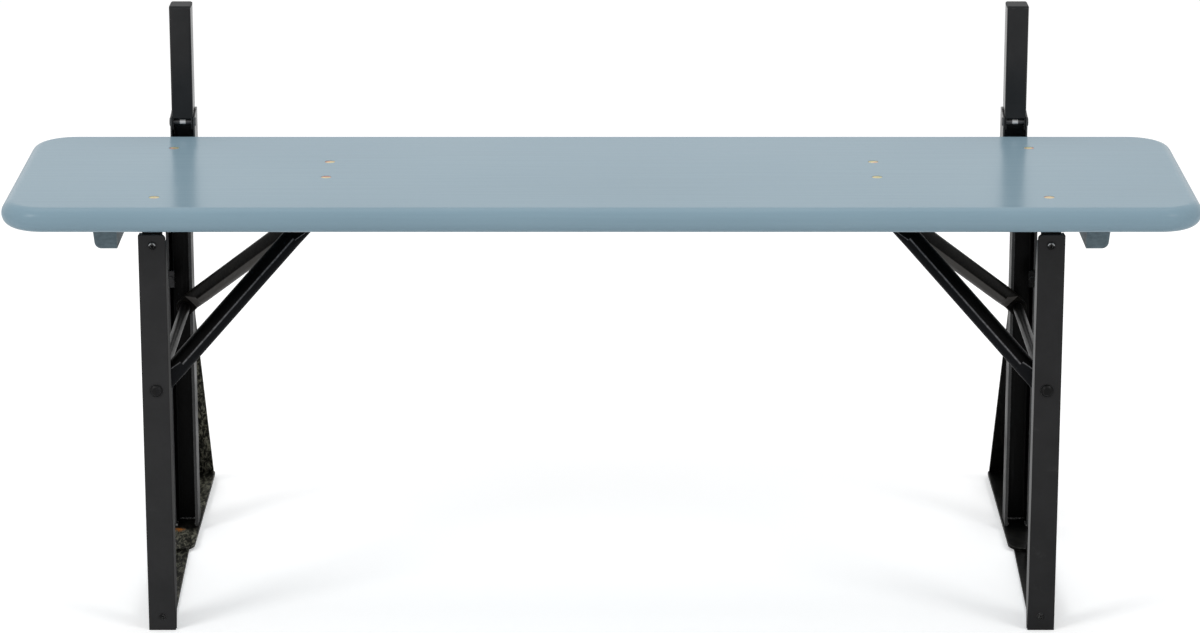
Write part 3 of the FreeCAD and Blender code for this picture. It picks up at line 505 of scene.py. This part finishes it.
def spring_steel():
    """Bare drawn steel, streaked along the clips."""
    finish = Finish("spring_steel", roughness=0.35, metallic=1.0)
    streaks = finish.noise((900.0, 40.0, 900.0), detail=4.0)
    colour = finish.ramp(streaks, (0.3, linear(90, 92, 96)), (0.7, linear(140, 142, 146)))
    finish.colour(colour)
    finish.rough(finish.span(streaks, 0.3, 0.7, 0.28, 0.48))
    return finish.material


def black_plastic():
    """Matt, finely grained plastic on the posts' caps."""
    finish = Finish("black_plastic", roughness=0.55, specular=0.18)
    grain = finish.noise(1600.0, detail=2.0)
    colour = finish.ramp(grain, (0.3, linear(27, 28, 29)), (0.7, linear(38, 39, 40)))
    finish.colour(colour)
    finish.relief(finish.bump(grain, 0.00005, 0.5))
    return finish.material


def dress(material, *stems):
    """Give a material to nodes, named in full or by the stem of a left and right pair."""
    for stem in stems:
        names = [stem] if stem in nodes else [stem + "_" + side for side in WAYS]
        for name in names:
            for slot in nodes[name].material_slots:
                slot.material = material


def dress_all():
    dress(seat_paint(), "seat_board")
    dress(batten_paint(), "end_batten")
    # Lit and shaded copies of one enamel: painted light on the left leg, painted shade on the
    # right.
    dress(leg_enamel_lit_shaded("left", (30, 30, 31), (36, 36, 37)), "front_leg_left")
    dress(leg_enamel_lit_shaded("right", (24, 24, 25), (30, 30, 31)), "front_leg_right")
    dress(post_enamel(), "back_post", "stop_lug_left")
    dress(channel_enamel(), "post_channel")
    # Painted shade: the pieces under the seat take a deeper black than the same enamel on the
    # faces, the right stop lug among them, while the left stop lug takes the lighter post
    # enamel.
    dress(
        shaded_inner_enamel(),
        "hinge_rail", "hinge_ear_front", "hinge_ear_rear", "latch_bracket",
        "rear_upright", "axle_spacer", "stop_lug_right",
    )
    dress(front_strut_enamel(), "front_strut")
    dress(rear_strut_enamel(), "rear_strut")
    dress(foot_enamel(), "foot_rail", "foot_plate", "rear_brace")
    dress(zinc_plate(), "seat_nuts", "batten_screws", "clip_rivets", "catch_rod")
    dress(barrel_zinc(), "post_bolt")
    dress(blackened_zinc(), "foot_rivet", "strut_axle", "axle_nut")
    dress(pin_enamel(), "hinge_pins")
    dress(yellow_zinc(), "seat_bolts")
    dress(spring_steel(), "latch_clip")
    dress(black_plastic(), "post_cap")


# Weld beads and rolled edges, which the plain solids leave out

def bead_rings(start, end, radius, pitch):
    """Rings of points for a lumpy rod that swells and pinches once a pitch."""
    run = end - start
    along = run.normalized()
    side = along.orthogonal().normalized()
    lift = along.cross(side)
    steps = max(6, round(run.length / pitch) * 4)
    rings = []
    for step in range(steps + 1):
        share = step / steps
        swell = 0.82 + 0.18 * abs(math.sin(math.pi * share * run.length / pitch))
        taper = min(1.0, 0.35 + 8 * min(share, 1 - share))
        reach = radius * swell * taper
        middle = start + run * share
        ring = []
        for turn in range(RING_POINTS):
            angle = math.tau * turn / RING_POINTS
            spoke = side * (reach * math.cos(angle)) + lift * (reach * math.sin(angle))
            ring.append(middle + spoke)
        rings.append(ring)
    return rings


def make_bead(name, body, material, start, end, radius=WELD_RADIUS, pitch=WELD_PITCH):
    """A closed lumpy rod from start to end, riding on a body."""
    rings = bead_rings(Vector(start), Vector(end), radius, pitch)
    points = [point for ring in rings for point in ring]
    first_cap = tuple(reversed(range(RING_POINTS)))
    last_cap = tuple(range(len(points) - RING_POINTS, len(points)))
    faces = [first_cap, last_cap]
    for row in range(len(rings) - 1):
        low = row * RING_POINTS
        high = low + RING_POINTS
        for turn in range(RING_POINTS):
            after = (turn + 1) % RING_POINTS
            faces.append((low + turn, low + after, high + after, high + turn))
    mesh = bpy.data.meshes.new(name)
    mesh.from_pydata(points, [], faces)
    for polygon in mesh.polygons:
        polygon.use_smooth = True
    mesh.materials.append(material)
    bead = bpy.data.objects.new(name, mesh)
    bpy.context.collection.objects.link(bead)
    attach(bead, body)


def run_across(xs, y, z):
    """The ends of a weld that runs along X."""
    return [(x, y, z) for x in xs]


def run_back(x, ys, z):
    """The ends of a weld that runs along Y."""
    return [(x, y, z) for y in ys]


def make_beads(material):
    """Beads at each upright's foot and back, and where the ears meet the rails."""
    web_xs = (INNER_FLANGE_X + WEB_WELD_INSET, OUTER_FLANGE_X - WEB_WELD_INSET)
    ear_xs = (PIN_X - EAR_WELD_HALF, PIN_X + EAR_WELD_HALF)
    for side, way in WAYS.items():
        leg = "leg_" + side
        welds = [
            ("foot_bead", leg, run_across(web_xs, WEB_FRONT_Y, PLATE_TOP)),
            ("outer_bead", leg, run_back(OUTER_FLANGE_X, OUTER_FLANGE_WELD_Y, PLATE_TOP)),
            ("inner_bead", leg, run_back(INNER_FLANGE_X, INNER_FLANGE_WELD_Y, PLATE_TOP)),
            ("back_bead", leg, run_across(BRACE_WELD_X, WEB_BACK_Y, BRACE_TOP)),
            ("front_ear_bead", "seat", run_across(ear_xs, FRONT_EAR_Y, EAR_TOP)),
            ("rear_ear_bead", "seat", run_across(ear_xs, REAR_EAR_Y, EAR_TOP)),
        ]
        for stem, body, ends in welds:
            start, end = [(x * way, y, z) for x, y, z in ends]
            make_bead(stem + "_" + side, body, material, start, end)


def make_leg_edges():
    """The rolled inner edge of each front leg, coloured as a painted highlight line along it.
    """
    # Painted highlights: light greys that stand for light caught on the rounded edges, lighter
    # on the right.
    highlight_greys = {"left": (62, 62, 62), "right": (120, 120, 120)}
    for side, way in WAYS.items():
        start = (LEG_EDGE_X * way, LEG_EDGE_Y, LEG_EDGE_LOW)
        end = (LEG_EDGE_X * way, LEG_EDGE_Y, LEG_EDGE_HIGH)
        make_bead(
            "edge_lip_" + side,
            "leg_" + side,
            edge_highlight_enamel(side, highlight_greys[side]),
            start,
            end,
            radius=LEG_EDGE_RADIUS,
            pitch=LEG_EDGE_PITCH,
        )


# Stage, light and camera

def make_floor():
    """A wide pale sheet that glows a little for the camera, so that it stays white."""
    mesh = bpy.data.meshes.new("floor")
    signs = ((-1, -1), (1, -1), (1, 1), (-1, 1))
    corners = [(x * FLOOR_HALF, y * FLOOR_HALF, 0) for x, y in signs]
    mesh.from_pydata(corners, [], [(0, 1, 2, 3)])
    floor = bpy.data.objects.new("floor", mesh)
    bpy.context.collection.objects.link(floor)
    finish = Finish("floor_paper", roughness=0.9, specular=0.1)
    finish.set("Base Color", (0.94, 0.94, 0.94, 1.0))
    finish.set("Emission Color", (1.0, 1.0, 1.0, 1.0))
    seen = finish.add("LightPath").outputs["Is Camera Ray"]
    glow = finish.maths("MULTIPLY", seen, FLOOR_GLOW)
    finish.link(glow, finish.surface.inputs["Emission Strength"])
    mesh.materials.append(finish.material)


def make_world():
    """White all round, dimmer as a light than where it is seen or mirrored."""
    world = bpy.data.worlds.new("studio")
    bpy.context.scene.world = world
    world.use_nodes = True
    tree = world.node_tree
    background = tree.nodes["Background"]
    background.inputs["Color"].default_value = (1.0, 1.0, 1.0, 1.0)
    path = tree.nodes.new("ShaderNodeLightPath")
    seen = tree.nodes.new("ShaderNodeMath")
    seen.operation = "MAXIMUM"
    tree.links.new(path.outputs["Is Camera Ray"], seen.inputs[0])
    tree.links.new(path.outputs["Is Glossy Ray"], seen.inputs[1])
    strength = tree.nodes.new("ShaderNodeMapRange")
    strength.inputs["To Min"].default_value = 0.62
    strength.inputs["To Max"].default_value = 1.0
    tree.links.new(seen.outputs["Value"], strength.inputs["Value"])
    tree.links.new(strength.outputs["Result"], background.inputs["Strength"])


def add_lamp(name, place, size, power):
    """A rectangular lamp turned to the bench."""
    lamp = bpy.data.lights.new(name, "AREA")
    lamp.shape = "RECTANGLE"
    lamp.size, lamp.size_y = size
    lamp.energy = power
    holder = bpy.data.objects.new(name, lamp)
    bpy.context.collection.objects.link(holder)
    holder.location = place
    aim = Vector(LAMP_TARGET) - Vector(place)
    holder.rotation_euler = aim.to_track_quat("-Z", "Y").to_euler()


def make_lamps():
    add_lamp("key_left", (-2.6, -2.4, 2.9), size=(1.2, 1.2), power=46)
    add_lamp("key_right", (2.6, -2.4, 2.9), size=(1.2, 1.2), power=32)
    add_lamp("overhead", (0, 0.6, 3.2), size=(3.0, 1.6), power=22)


def make_camera():
    camera = bpy.data.cameras.new("photo_camera")
    camera.sensor_fit = "HORIZONTAL"
    camera.sensor_width = SENSOR_WIDTH
    camera.lens = FOCAL_PIXELS * SENSOR_WIDTH / PHOTO_WIDTH
    camera.clip_end = 60.0
    holder = bpy.data.objects.new("photo_camera", camera)
    bpy.context.collection.objects.link(holder)
    holder.location = CAMERA_PLACE
    holder.rotation_euler = (math.pi / 2 - CAMERA_PITCH, 0.0, 0.0)
    bpy.context.scene.camera = holder


dress_all()
make_beads(weld_enamel())
make_leg_edges()
make_floor()
make_world()
make_lamps()
make_camera()
bpy.context.scene.view_settings.view_transform = "Standard"
